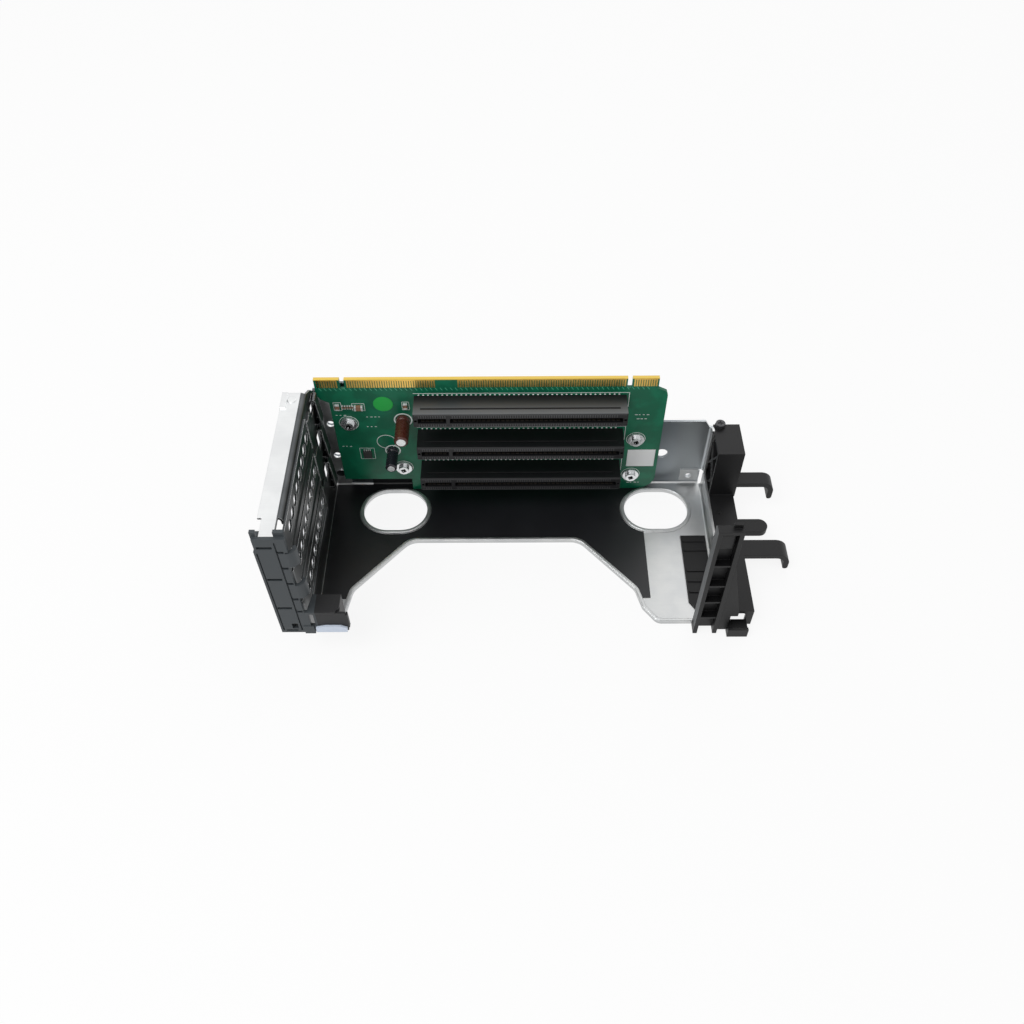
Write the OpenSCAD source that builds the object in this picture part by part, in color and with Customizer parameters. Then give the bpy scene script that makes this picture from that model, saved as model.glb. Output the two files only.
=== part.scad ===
// Riser cage bracket for a rack server: a folded tray that carries an upright riser board with
// three card connectors, a port wall with blank covers and a swinging latch, and a moulded
// bracket with cable hooks at the far end. Millimetres, +Z up.
// The origin is on the underside of the plate, under the middle of the connectors, in the plane
// of the board's front face. -Y is the side that the cards are put in from.

/* [Card slots] */
// Height of the top connector's middle above the underside
top_slot_z = 58.4; // [57:0.1:60]
// Distance from one card slot to the next
slot_pitch = 20.32; // [19.6:0.02:20.6]
// Length of a card connector
conn_l = 89; // [84:0.5:92]
// Depth of a card connector, from the board to its mouth
conn_d = 11.25; // [9:0.25:13]
// Thickness of a card connector
conn_h = 7.5; // [6.5:0.1:8.5]
// Width of the slot that the card goes into
card_slot_w = 2.2; // [2:0.1:2.8]
// Depth of the slot that the card goes into
card_slot_depth = 8.6; // [7:0.1:9]
// Distance from the connector's left end to the middle of its key
key_from_end = 14.5; // [12:0.5:17]

/* [Riser board] */
// Thickness of the board
board_t = 1.57; // [1.4:0.01:2.4]
// Height of the contact edge above the underside
board_top = 71.5; // [70.5:0.1:74]
// From the middle to the left end of the contact edge
board_left = 85.4; // [84.6:0.1:85.6]
// From the middle to the right edge of the board
board_right = 61.8; // [60.5:0.1:64]
// From the middle to the right end of the contact edge
contact_right = 57.4; // [56:0.1:58.5]
// Radius of the board's lower right corner
board_corner_r = 8; // [3:0.5:10]
// Height of the gold contacts
contact_h = 4.2; // [3:0.1:5]
// Distance between gold contacts
contact_pitch = 1; // [0.8:0.1:2]
// Length of the standoffs behind the board
standoff_l = 2.43; // [2:0.01:4]

/* [Tray] */
// Thickness of the sheet metal
sheet_t = 1; // [0.8:0.05:1.2]
// Thickness of the insulating film
film_t = 0.3; // [0.2:0.05:0.5]
// From the middle to the inner face of the port wall
port_x = 86; // [85.8:0.1:87.5]
// From the middle to the outer face of the side flange
side_x = 85.3; // [85:0.1:88]
// From the board's face to the plate's front edge
plate_depth = 73.4; // [72:0.1:76]
// Height of the back wall
back_h = 41.6; // [36:0.2:46]
// Height of the side flange
side_h = 9.9; // [9:0.1:12]
// Inner radius of the bends
bend_r = 1.2; // [0.8:0.1:1.6]
// Width of a finger hole
oval_w = 29; // [26:0.5:31]
// Depth of a finger hole
oval_d = 23; // [20:0.5:24]
// Width of the rolled rims and hems
hem_w = 1.6; // [1.2:0.1:2]
// Height of the rolled rims and hems above the plate
hem_h = 1.1; // [0.6:0.1:1.4]
// From the board's face to the back of the front cut-out
cut_back = 30.5; // [28.5:0.5:36]
// Half width of the cut-out at its back
cut_half_back = 37.6; // [34:0.2:40]
// Half width of the cut-out where its slanting sides end
cut_half_front = 60.6; // [56:0.2:61.6]

/* [Port wall] */
// Height of the port wall above the top card slot
port_rise = 16.6; // [16.4:0.1:18]
// Width of the outward top flange
port_flange_w = 9.3; // [8.6:0.1:10.5]
// From the board's face to the shelf that the cover tabs lie on
shelf_dist = 83.15; // [82.5:0.05:85]
// Width of a slot opening
port_slot_w = 12.2; // [11:0.1:13]
// Width of a slot cover
cover_w = 18.4; // [17.4:0.1:18.8]
// Thickness of a slot cover
cover_t = 0.86; // [0.7:0.02:1]
// Width of the tongue of a slot cover
tongue_w = 10.2; // [8:0.1:11]
// Size of a ventilation hole across its corners
vent_d = 5.7; // [4:0.1:5.9]
// Distance between ventilation holes
vent_pitch = 6.25; // [6:0.05:6.4]

/* [Card latch] */
// Thickness of the latch bar
latch_t = 1.4; // [1.2:0.1:2]
// Width of the latch bar
latch_w = 11.8; // [11.4:0.1:12.6]
// Height of the latch's lower end above the underside
latch_low = 15.1; // [14.5:0.1:16]
// Radius of the hinge pin
pin_r = 0.7; // [0.5:0.05:0.8]
// Outer radius of the curled fingers
finger_r = 3.2; // [2.8:0.1:3.6]

/* [End bracket] */
// Wall thickness of the moulding
plastic_t = 1.3; // [1:0.1:1.6]
// Width of the ribbed box and the rail
box_w = 11.6; // [10:0.2:13]
// Height of the ribbed box's top above the underside
box_top = 37.1; // [34:0.2:40]
// From the board's face to the front of the ribbed box
box_front = 11.3; // [10:0.1:13]
// Height of the guide tower
tower_h = 68.9; // [60:0.5:72]
// Width of the guide tower
tower_w = 9.8; // [9:0.1:11]
// Depth of the guide tower
tower_d = 4.6; // [4:0.1:6]
// Thickness of the cable hooks
hook_t = 2.3; // [1.8:0.1:2.8]
// Reach of the cable hooks with a turned-down tip
hook_reach = 17; // [14:0.5:20]

/* [Hidden] */
$fn = 32;
eps = 0.01;
cut = 2;                             // how far a cutter runs past the face it cuts

galvanised = [0.72, 0.75, 0.77];
nickel = [0.45, 0.47, 0.48];
charcoal = [0.14, 0.14, 0.15];
gold = [0.86, 0.66, 0.22];

// Planes that the pieces share
back_in = board_t + standoff_l;      // inner face of the back wall
back_out = back_in + sheet_t;
port_h = top_slot_z + port_rise;     // top of the port wall
wall_in = -port_x;                   // inner face of the port wall
wall_out = wall_in - sheet_t;
side_in = side_x - sheet_t;
fold = bend_r + sheet_t;             // outer radius of a bend
board_low = sheet_t + film_t + 0.1;  // the board's lower edge stands just above the film
shelf_front = -shelf_dist;
shelf_back = shelf_front + sheet_t;
function slot_z(k) = top_slot_z - (k - 1) * slot_pitch;

// Screws in the board, as [x, z]
board_screw_at = [[-74, 45.9], [-52.9, 17], [50.8, 34.9], [50.4, 11.4]];
screw_r = 1.25;
screw_gap = 0.15;                    // clearance of a screw in the board
washer_r = 3.65;
washer_t = 0.9;
screw_head_r = 2.3;
screw_head_h = 1.5;
standoff_r = 2.6;
clinch_r = 2;

// ---------------------------------------------------------------- helpers

// Two plates that meet in a bend at the origin: one along +X, one along +Y
module bent_strip(along_x, along_y, t, r) {
    translate([r + t, 0]) square([along_x - r - t, t]);
    translate([0, r + t]) square([t, along_y - r - t]);
    difference() {
        intersection() {
            translate([r + t, r + t]) circle(r + t);
            square(r + t);
        }
        translate([r + t, r + t]) circle(r);
    }
}

// Drawn as [y, z], extruded along X from x0
module along_x(x0, length) {
    translate([x0, 0, 0]) rotate([90, 0, 90]) linear_extrude(length) children();
}

// Drawn as [x, z], extruded along Y from y0 to y1
module along_y(y0, y1) {
    translate([0, y1, 0]) rotate([90, 0, 0]) linear_extrude(y1 - y0) children();
}

// A box from one corner to the opposite one
module block(low, high) {
    translate(low) cube(high - low);
}

// A cylinder along Y from y0 to y1 at [x, z]
module rod_y(x, z, y0, y1, r) {
    translate([x, y1, z]) rotate([90, 0, 0]) cylinder(h = y1 - y0, r = r);
}

// A cylinder along X from x0 to x1 at [y, z]
module rod_x(y, z, x0, x1, r) {
    translate([x0, y, z]) rotate([0, 90, 0]) cylinder(h = x1 - x0, r = r);
}

// A stadium: w wide, d deep, round at both ends
module stadium(w, d) {
    translate([-(w - d) / 2, 0]) circle(d = d);
    translate([(w - d) / 2, 0]) circle(d = d);
    square([w - d, d], center = true);
}

function unit(v) = v / norm(v);
function turn_left(v) = [-v[1], v[0]];

// Points of the arc that rounds the corner b, coming from a and going on to c
function corner_arc(a, b, c, r) =
    let (u = unit(a - b), v = unit(c - b))
    let (half = acos(u * v) / 2)
    let (mid = b + unit(u + v) * r / sin(half))
    let (p = b + u * r / tan(half), q = b + v * r / tan(half))
    let (sweep = 180 - 2 * half, steps = 5)
    let (side = sign(cross(p - mid, q - mid)))
    [for (i = [0 : steps])
        let (t = side * sweep * i / steps, s = p - mid)
        mid + [s[0] * cos(t) - s[1] * sin(t), s[0] * sin(t) + s[1] * cos(t)]];

// An open path whose inner corners are rounded
function rounded_path(points, radii) = concat(
    [points[0]],
    [for (i = [1 : len(points) - 2])
        each corner_arc(points[i - 1], points[i], points[i + 1], radii[i])],
    [points[len(points) - 1]]);

// The path moved to its left by d, with every corner kept sharp
function shifted_path(points, d) = [
    for (i = [0 : len(points) - 1])
        let (n = len(points) - 1)
        let (before = i == 0 ? points[1] - points[0] : points[i] - points[i - 1])
        let (after = i == n ? points[n] - points[n - 1] : points[i + 1] - points[i])
        let (m = turn_left(unit(before)), k = turn_left(unit(after)))
        points[i] + (m + k) * d / (1 + m * k)];

function reversed(v) = [for (i = [len(v) - 1 : -1 : 0]) v[i]];

// ---------------------------------------------------------------- tray

cut_mid = -11.7;                     // middle of the front cut-out
cut_side_end = 56.8;                 // where the slanting sides end, from the board's face
left_front = 68;                     // the plate's front edge at its left end
left_lug_x = -74.4;                  // inner side of the plate's left front lug
right_lug_x = 51.4;                  // inner side of the right front lug
back_left_h = 66;                    // the back wall is taller beside the port wall
back_left_x = -69;
back_right_x = side_x - 4.1;         // right end of the back wall's full height
strip_h = 38.1;                      // height of the side strip at the back corner
strip_front = 1.5;                   // its front edge
oval_1 = [-57.3, -12.9];
oval_2 = [61.9, -12.9];
window_front = 6.5 - plate_depth;
window_x = [side_x - 13.9, side_x - 2.6];
window_back = -28;
window = [
    [window_x[0], window_back], [window_x[1], window_back], [window_x[1], window_front + 3.4],
    [window_x[1] - 3.1, window_front], [window_x[0] + 2.2, window_front], [window_x[0], window_front + 3.4]];
pad_slot = [-62, -50];               // the slot in the side flange, along Y
pad_slot_h = 3;
ear_x = [side_x - 11.3, side_x - 3.1];  // pressed ear at the foot of the back wall
ear_z = [3.4, 10.4];
ear_out = 0.8;
ear_hole = [side_x - 7.5, 6.4];
ear_hole_r = 1.5;
back_hole = [64.1, 21];
back_hole_r = 2.75;
flange_hole_x = -82.8;               // open holes through the port wall's back flange
flange_hole_z = 22;
flange_hole_r = 1.75;
rivet_z = [10.4, 61.5];
rivet_r = 1.2;
rivet_gap = 0.05;
clinch_gap = 0.03;
rivet_head_r = 2;
rivet_head_h = 0.7;

cut_path = [
    [left_lug_x, -left_front],
    [cut_mid - cut_half_front, -cut_side_end],
    [cut_mid - cut_half_back, -cut_back],
    [cut_mid + cut_half_back, -cut_back],
    [cut_mid + cut_half_front, -cut_side_end],
    [right_lug_x, -66],
    [right_lug_x + 5.6, -plate_depth],
    [side_x - 12, -plate_depth]];
cut_radii = [0, 6, 8, 8, 6, 3, 4, 0];

module plate_outline() {
    polygon(concat(
        [[wall_in, back_out - fold], [wall_in, -left_front]],
        rounded_path(cut_path, cut_radii),
        [[side_x - fold, -plate_depth], [side_x - fold, back_out - fold]]));
}

// The hem along the front edge: a rolled strip that follows the cut-out
module hem_strip(inset, width, height) {
    run_out = cut_path[0] + (cut_path[0] - cut_path[1]) * 0.2;
    path = concat([run_out], [for (i = [1 : len(cut_path) - 1]) cut_path[i]]);
    outer = rounded_path(shifted_path(path, inset), cut_radii);
    inner = rounded_path(shifted_path(path, inset + width), cut_radii);
    linear_extrude(height) intersection() {
        polygon(concat(outer, reversed(inner)));
        plate_outline();
    }
}

module oval_ring(at, grow, width, height) {
    translate(at) linear_extrude(height) difference() {
        stadium(oval_w + 2 * (grow + width), oval_d + 2 * (grow + width));
        stadium(oval_w + 2 * grow, oval_d + 2 * grow);
    }
}

module base_tray() {
    round_in = 0.35;                 // the rolled edges step in by this at their crest
    color(galvanised) difference() {
        union() {
            linear_extrude(sheet_t) plate_outline();
            // back wall with its bend
            difference() {
                along_x(wall_in, side_x - fold - wall_in)
                    translate([back_out, 0]) mirror([1, 0])
                        bent_strip(fold + eps, back_left_h, sheet_t, bend_r);
                block([back_left_x, back_in - cut, back_h], [side_x + cut, back_out + cut, back_left_h + cut]);
                along_y(back_in - cut, back_out + cut) polygon([
                    [back_right_x, back_h + eps], [side_x + cut, back_h + eps], [side_x + cut, strip_h],
                    [back_right_x + 2, strip_h]]);
                block([back_right_x, back_in - cut, back_h], [side_x + cut, back_out + cut, back_left_h + cut]);
            }
            // side flange with its bend
            along_y(-plate_depth, back_out - fold)
                translate([side_x, 0]) mirror([1, 0])
                    bent_strip(fold + eps, side_h, sheet_t, bend_r);
            // upright strip that turns the back corner
            translate([0, 0, side_h]) linear_extrude(strip_h - side_h)
                translate([side_x, back_out]) mirror([1, 0]) mirror([0, 1])
                    bent_strip(fold + eps, back_out - strip_front, sheet_t, bend_r);
            // pressed ear
            block([ear_x[0], back_in - ear_out, ear_z[0]], [ear_x[1], back_in + eps, ear_z[1]]);
            hem_strip(0, hem_w, sheet_t + hem_h - round_in);
            hem_strip(round_in, hem_w - 2 * round_in, sheet_t + hem_h);
            for (at = [oval_1, oval_2]) {
                oval_ring(at, 0, hem_w, sheet_t + hem_h - round_in);
                oval_ring(at, round_in, hem_w - 2 * round_in, sheet_t + hem_h);
            }
        }
        for (at = [oval_1, oval_2])
            translate([at[0], at[1], -cut]) linear_extrude(sheet_t + 2 * cut) stadium(oval_w, oval_d);
        translate([0, 0, -cut]) linear_extrude(sheet_t + 2 * cut) polygon(window);
        // slot in the side flange for the pad's tongue
        block([side_in - cut, pad_slot[0], sheet_t + bend_r], [side_x + cut, pad_slot[1], sheet_t + bend_r + pad_slot_h]);
        // corner relief
        block([side_x - fold - 1, back_in - cut, side_h - 0.9], [side_x + cut, back_out + cut, side_h]);
        rod_y(ear_hole[0], ear_hole[1], back_in - cut, back_out + cut, ear_hole_r);
        rod_y(back_hole[0], back_hole[1], back_in - cut, back_out + cut, back_hole_r);
        for (z = [flange_hole_z, flange_hole_z + slot_pitch])
            rod_y(flange_hole_x, z, back_in - cut, back_out + cut, flange_hole_r);
        for (z = rivet_z) rod_y(flange_hole_x, z, back_in - cut, back_out + cut, rivet_r + rivet_gap);
        for (p = board_screw_at) rod_y(p[0], p[1], back_in - cut, back_out + cut, clinch_r + clinch_gap);
    }
}

module wall_rivets() {
    color(galvanised) for (z = rivet_z) {
        rod_y(flange_hole_x, z, back_in - sheet_t, back_out, rivet_r);
        rod_y(flange_hole_x, z, back_out, back_out + rivet_head_h, rivet_head_r);
        rod_y(flange_hole_x, z, back_in - sheet_t - rivet_head_h, back_in - sheet_t, rivet_head_r);
    }
}

// ---------------------------------------------------------------- film

film_right = 55.4;
film_up = 7;                         // how far the film climbs the back wall
film_gap = 0.3;

module insulating_film() {
    lane = shifted_path(cut_path, hem_w + film_gap);
    front = rounded_path([for (i = [0 : 5]) lane[i]], cut_radii);
    color(charcoal) difference() {
        union() {
            translate([0, 0, sheet_t]) linear_extrude(film_t) intersection() {
                polygon(concat(
                    [[wall_in + film_gap, back_in - bend_r], [wall_in + film_gap, -left_front + 1]],
                    front,
                    [[film_right, -61], [film_right, back_in - bend_r]]));
                translate([wall_in, -61]) square([film_right - wall_in, 61 + back_in]);
            }
            along_x(back_left_x, film_right - back_left_x)
                translate([back_in, sheet_t]) mirror([1, 0])
                    bent_strip(bend_r + eps, film_up, film_t, bend_r - film_t);
        }
        for (at = [oval_1, oval_2])
            translate([at[0], at[1], 0]) linear_extrude(sheet_t + film_t + cut)
                stadium(oval_w + 2 * (hem_w + film_gap), oval_d + 2 * (hem_w + film_gap));
    }
}

// ---------------------------------------------------------------- port wall

port_back = back_in - sheet_t;       // inner face of its back flange
port_flange_x = -78.8;               // right end of the back flange
flange_start = -11;                  // the top flange begins here
slot_mid = 8.2;                      // middle of an opening above the card's plane
cover_mid = 5.3;                     // middle of a cover above the card's plane
opening_back = -20.5;
opening_front = -77;
hood_y = [-9.2, -4.4];               // lanced bridge over a cover's tongue
hood_z = [-4.2, 14.2];
hood_out = 3;
lance_y = [-11.3, -5.6];             // the opening that the bridge leaves in the wall
lance_low = 1.2;
tongue_end = -6;
tongue_start = -21.5;
nose_start = -15.5;                  // the tongue narrows to a nose
nose_w = 5.4;

// Hinge of the latch: an eye under a tongue of the top flange
pin_gap = 0.05;
pin_y = shelf_front + 1.95;
pin_z = port_h - sheet_t - pin_r - 0.3;
eye_r = pin_r + 0.8;
eye_x = [-93.6, -87.9];
post_top = 6;                        // the latch's posts reach this far above the pin
notch_back = pin_y + post_top + 0.3;
eye_front = pin_y - 2.5;
shelf_top = port_h - 9;
shelf_low = 14;                      // the shelf ends above the latch's lower end
shelf_w = 9;

// Profile of a bridge in the XZ plane, drawn in from its outside by t
module hood_profile(t, height, base = wall_in - sheet_t / 2) {
    far = wall_in + hood_out - t;
    low = hood_z[0] + t;
    top = height - t;
    polygon(concat(
        [[base, low]],
        corner_arc([base, low], [far, low], [far, 0], 1),
        corner_arc([far, 0], [far - 1, top], [base, top - 1.8], 1),
        [[base, top - 1.8]]));
}

function hood_top(z) = min(hood_z[1], port_h - 5.4 - z);
module slot_hood(z) {
    bridge_t = 0.8;
    height = hood_top(z);
    translate([0, 0, z]) {
        along_y(hood_y[0], hood_y[1]) difference() {
            hood_profile(0, height);
            hood_profile(bridge_t, height, wall_in - cut);
        }
        along_y(hood_y[1] - bridge_t, hood_y[1]) hood_profile(0, height);
    }
}

module port_wall() {
    color(nickel) difference() {
        union() {
            // wall with its outward top flange
            along_y(shelf_front + fold, port_back + eps)
                translate([wall_in, port_h]) mirror([1, 0]) mirror([0, 1])
                    bent_strip(port_flange_w, port_h, sheet_t, bend_r);
            // tongue with the hinge eye
            block([eye_x[0], eye_front, port_h - sheet_t], [eye_x[1], shelf_front + fold + eps, port_h]);
            rod_x(pin_y, pin_z, eye_x[0], eye_x[1], eye_r);
            // shelf for the cover tabs
            translate([wall_in, shelf_front, shelf_low]) mirror([1, 0, 0])
                linear_extrude(shelf_top - shelf_low)
                    bent_strip(sheet_t + shelf_w, fold + eps, sheet_t, bend_r);
            // back flange
            block([wall_out, port_back, sheet_t + bend_r], [port_flange_x, back_in, back_left_h - 1]);
            for (k = [1 : 3]) slot_hood(slot_z(k));
            // raised stop and pressed dimple at the flange's back end
            block([wall_in - port_flange_w, flange_start - 9, port_h - eps],
                  [wall_in - port_flange_w + 2.4, flange_start - 0.6, port_h + 0.9]);
            translate([wall_in - 5.2, flange_start - 4, port_h - eps]) cylinder(h = 0.4, r = 1.7);
        }
        // the flange starts forward of the back edge, and the wall's upper back corner slopes down
        block([wall_out - port_flange_w, flange_start, port_h - fold - 0.3], [wall_in - sheet_t - eps, port_back + cut, port_h + cut]);
        along_x(wall_out - cut, hood_out + sheet_t + 2 * cut) polygon([
            [flange_start, port_h - 0.6], [-5, port_h - 4.3], [0.5, port_h - 10.4], [port_back + cut, port_h - 10.6],
            [port_back + cut, port_h + cut], [flange_start, port_h + cut]]);
        // the lower front corner is cut off
        along_x(wall_out - cut, sheet_t + 2 * cut) polygon([
            [shelf_front - cut, -cut], [shelf_front + 8, -cut], [shelf_front + 8, 0],
            [shelf_front + 1, shelf_low - 0.5], [shelf_front - cut, shelf_low - 0.5]]);
        // room for the latch's posts on both sides of the tongue
        for (x = [[wall_out - port_flange_w, eye_x[0]], [eye_x[1], wall_in + cut]])
            block([x[0] - eps, shelf_front - cut, shelf_top], [x[1], notch_back, port_h + cut]);
        rod_x(pin_y, pin_z, eye_x[0] - cut, eye_x[1] + cut, pin_r + pin_gap);
        for (k = [1 : 3]) {
            z = slot_z(k);
            along_x(wall_out - cut, sheet_t + cut + eps) translate([(opening_front + opening_back) / 2, z + slot_mid])
                stadium(opening_back - opening_front, port_slot_w);
            block([wall_out - cut, lance_y[0], z + lance_low], [wall_in + cut, lance_y[1], z + hood_top(z) - 3.2]);
        }
        for (z = [flange_hole_z, flange_hole_z + slot_pitch])
            rod_y(flange_hole_x, z, port_back - cut, back_in + cut, flange_hole_r);
        for (z = rivet_z) rod_y(flange_hole_x, z, port_back - cut, back_in + cut, rivet_r + rivet_gap);
    }
}

// ---------------------------------------------------------------- slot covers

vent_count = 8;
vent_start = -28.2;
tab_notch_r = 2.2;

module slot_cover(k) {
    z0 = slot_z(k) + cover_mid;
    tab_y = shelf_front - cover_t;
    half = cover_w / 2;
    shoulder = (cover_w - tongue_w) / 2;
    color(nickel) difference() {
        union() {
            // face with its tongue
            along_x(wall_in, cover_t) translate([0, z0]) polygon([
                [tab_y + bend_r + cover_t, -half], [tongue_start - shoulder / 2, -half],
                [tongue_start, -tongue_w / 2], [tongue_end, -tongue_w / 2],
                [tongue_end, nose_w - tongue_w / 2], [nose_start + 1.5, nose_w - tongue_w / 2],
                [nose_start, tongue_w / 2], [tongue_start, tongue_w / 2],
                [tongue_start - shoulder / 2, half], [tab_y + bend_r + cover_t, half]]);
            // tab, bent outwards over the shelf
            translate([wall_in + cover_t, tab_y, z0 - half]) mirror([1, 0, 0])
                linear_extrude(cover_w) bent_strip(cover_t + 8.9, bend_r + cover_t + eps, cover_t, bend_r);
            // crease across the face where the tongue begins
            block([wall_in + cover_t - eps, tongue_start - 2.3, z0 - half + 1.5],
                  [wall_in + cover_t + 0.35, tongue_start - 1.6, z0 + half - 1.5]);
            // long bead beside the ventilation holes
            along_y(tab_y + 6, tongue_start - 3.5) intersection() {
                translate([wall_in + cover_t - 1.6, z0 - 4.2]) circle(2.2);
                translate([wall_in + 0.2, z0 - 7]) square([4, 6]);
            }
        }
        for (i = [0 : vent_count - 1])
            along_x(wall_in - cut, cover_t + 2 * cut)
                translate([vent_start - i * vent_pitch, slot_z(k) + slot_mid]) circle(d = vent_d, $fn = 6);
        // screw notch in the tab
        rod_y(wall_in - 8.2, z0 - half, tab_y - cut, shelf_front + cut, tab_notch_r);
    }
}

module slot_cover_1() slot_cover(1);
module slot_cover_2() slot_cover(2);
module slot_cover_3() slot_cover(3);

// ---------------------------------------------------------------- board

step_z = 58.2;                       // the left edge steps in at this height
step_x = -80.7;
lower_left_x = -50;                  // left of this the lower edge is raised
lower_left_z = 8.8;
shoulder_z = 64.6;                   // height of the shoulder beside the contact edge
notch_w = 2;
notch_depth = 5.4;
notch_at = [-73.8, 45.4];            // notches in the contact edge
bare_at = [-34.4, -26.6];            // stretch without contacts
contact_t = 0.06;

module board_outline() {
    difference() {
        polygon(concat(
            [[lower_left_x, board_low], [lower_left_x, lower_left_z],
             [step_x, lower_left_z], [step_x, step_z], [-84, step_z + 2],
             [-board_left, step_z + 4.2], [-board_left, board_top],
             [contact_right, board_top], [contact_right, shoulder_z + 1],
             [board_right - 0.6, shoulder_z - 1], [board_right, shoulder_z - 3]],
            corner_arc([board_right, shoulder_z], [board_right, board_low],
                       [lower_left_x, board_low], board_corner_r)));
        for (x = notch_at) translate([x - notch_w / 2, board_top - notch_depth]) square([notch_w, notch_depth + cut]);
    }
}

module riser_board() {
    color([0.0, 0.36, 0.25]) difference() {
        along_y(0, board_t) board_outline();
        for (p = board_screw_at) rod_y(p[0], p[1], -cut, board_t + cut, screw_r + screw_gap);
    }
}

// A comb of contacts from x0 to x1, drawn as [x, z], hanging from its upper edge
module contact_comb(x0, x1, pitch, height) {
    bar = 0.5;
    n = floor((x1 - x0) / pitch);
    tooth = pitch * 0.68;
    start = (x0 + x1 - (n - 1) * pitch - tooth) / 2;
    polygon(concat(
        [for (i = [0 : n - 1]) each [
            [start + i * pitch, -bar], [start + i * pitch, -height],
            [start + i * pitch + tooth, -height], [start + i * pitch + tooth, -bar]]],
        [[start + (n - 1) * pitch + tooth, 0], [start, 0]]));
}

module edge_contacts() {
    margin = 0.5;
    ends = [
        [-board_left, notch_at[0] - notch_w / 2],
        [notch_at[0] + notch_w / 2, bare_at[0]],
        [bare_at[1], notch_at[1] - notch_w / 2],
        [notch_at[1] + notch_w / 2, contact_right]];
    color(gold) for (s = ends, y = [-contact_t, board_t])
        along_y(y, y + contact_t) translate([0, board_top - 0.3])
            contact_comb(s[0] + margin, s[1] - margin, contact_pitch, contact_h);
}

// ---------------------------------------------------------------- connectors

spring_t = 0.25;
spring_pitch = 2;
end_hole_r = 0.9;

module slot_connector(k) {
    z = slot_z(k);
    half = conn_l / 2;
    slot_end = 1.9;                  // from the housing's end to the card slot
    key_x = -half + key_from_end;
    edge = 0.5;                      // chamfer round the mouth
    pocket = card_slot_w / 2 + spring_t;
    color(charcoal) difference() {
        along_x(-half, conn_l) translate([0, z]) polygon([
            [0, -conn_h / 2], [-conn_d + edge, -conn_h / 2], [-conn_d, -conn_h / 2 + edge],
            [-conn_d, conn_h / 2 - edge], [-conn_d + edge, conn_h / 2], [0, conn_h / 2]]);
        for (s = [[-half + slot_end, key_x - 0.8], [key_x + 0.8, half - slot_end]])
            block([s[0], -conn_d - cut, z - pocket], [s[1], -conn_d + card_slot_depth, z + pocket]);
        for (x = [-half + slot_end / 2, half - slot_end / 2])
            rod_y(x, z, -conn_d - cut, -conn_d + 3, end_hole_r * 0.7);
        // long step along both sides
        for (side = [-1, 1])
            block([-half + 3, -conn_d + 3, z + side * (conn_h / 2) - 0.3],
                  [half - 3, -conn_d + 4, z + side * (conn_h / 2) + 0.3]);
    }
}

module slot_contacts(k) {
    half = conn_l / 2;
    key_x = -half + key_from_end;
    mouth = 1.2;
    color(gold) for (s = [[-half + 2.4, key_x - 1.3], [key_x + 1.3, half - 2.4]], side = [-1, 1]) {
        z = slot_z(k) + side * (card_slot_w / 2 + spring_t / 2);
        translate([0, -conn_d + card_slot_depth, z - spring_t / 2]) linear_extrude(spring_t)
            contact_comb(s[0], s[1], spring_pitch, card_slot_depth - mouth);
    }
}

module slot_connector_1() slot_connector(1);
module slot_connector_2() slot_connector(2);
module slot_connector_3() slot_connector(3);
module slot_contacts_1() slot_contacts(1);
module slot_contacts_2() slot_contacts(2);
module slot_contacts_3() slot_contacts(3);

// ---------------------------------------------------------------- parts on the board

module can_capacitor(x, z, r, length) {
    groove = 0.35;
    translate([x, 0, z]) rotate([90, 0, 0]) rotate_extrude() polygon([
        [0, 0], [r, 0], [r, 1.6], [r - groove, 2], [r - groove, 2.5], [r, 2.9],
        [r, length - 0.5], [r - 0.5, length], [r - 0.9, length],
        [r - 0.9, length - 0.25], [0, length - 0.25]]);
}

module brown_capacitor() color([0.32, 0.17, 0.12]) can_capacitor(-50.4, 47.7, 3, 13.4);
module black_capacitor() color(charcoal) can_capacitor(-56.8, 28.3, 2.5, 11);

module board_screws() {
    recess = 0.7;
    color([0.78, 0.8, 0.8]) for (p = board_screw_at) difference() {
        union() {
            rod_y(p[0], p[1], -washer_t, 0, washer_r);
            rod_y(p[0], p[1], -washer_t - screw_head_h, -washer_t + eps, screw_head_r);
            rod_y(p[0], p[1], -eps, back_out - 0.3, screw_r);
        }
        for (turn = [0, 90])
            translate([p[0], -washer_t - screw_head_h, p[1]]) rotate([0, turn + 20, 0])
                cube([2.6, 2 * recess, 0.6], center = true);
    }
}

module board_standoffs() {
    color([0.7, 0.68, 0.6]) for (p = board_screw_at) difference() {
        union() {
            rod_y(p[0], p[1], board_t, back_in, standoff_r);
            rod_y(p[0], p[1], back_in - eps, back_out, clinch_r);
        }
        rod_y(p[0], p[1], board_t - cut, back_out + cut, screw_r);
    }
}

module control_chip() {
    size = [3.6, 1.1, 4.2];
    at = [-68.2, 26.4];
    pin_pitch = 0.85;
    color(charcoal) translate([at[0] - size[0] / 2, -size[1] - 0.1, at[1] - size[2] / 2]) cube(size);
    color(galvanised) for (i = [-1.5 : 1], side = [-1, 1])
        translate([at[0] + i * pin_pitch, 0, at[1] + side * (size[2] / 2 + 0.35)])
            translate([-0.17, -0.6, -0.4]) cube([0.34, 0.6, 0.8]);
    color(charcoal) translate([at[0] - 0.9, -0.1 - eps, at[1] - 1.2]) cube([1.8, 0.1 + eps, 2.4]);
}

// A chip part with a metal cap at each end, turned about the board's normal
module chip_part(x, z, size, turned) {
    translate([x, 0, z]) rotate([0, turned, 0]) translate([-size[0] / 2, -size[1], -size[2] / 2]) cube(size);
}

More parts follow.
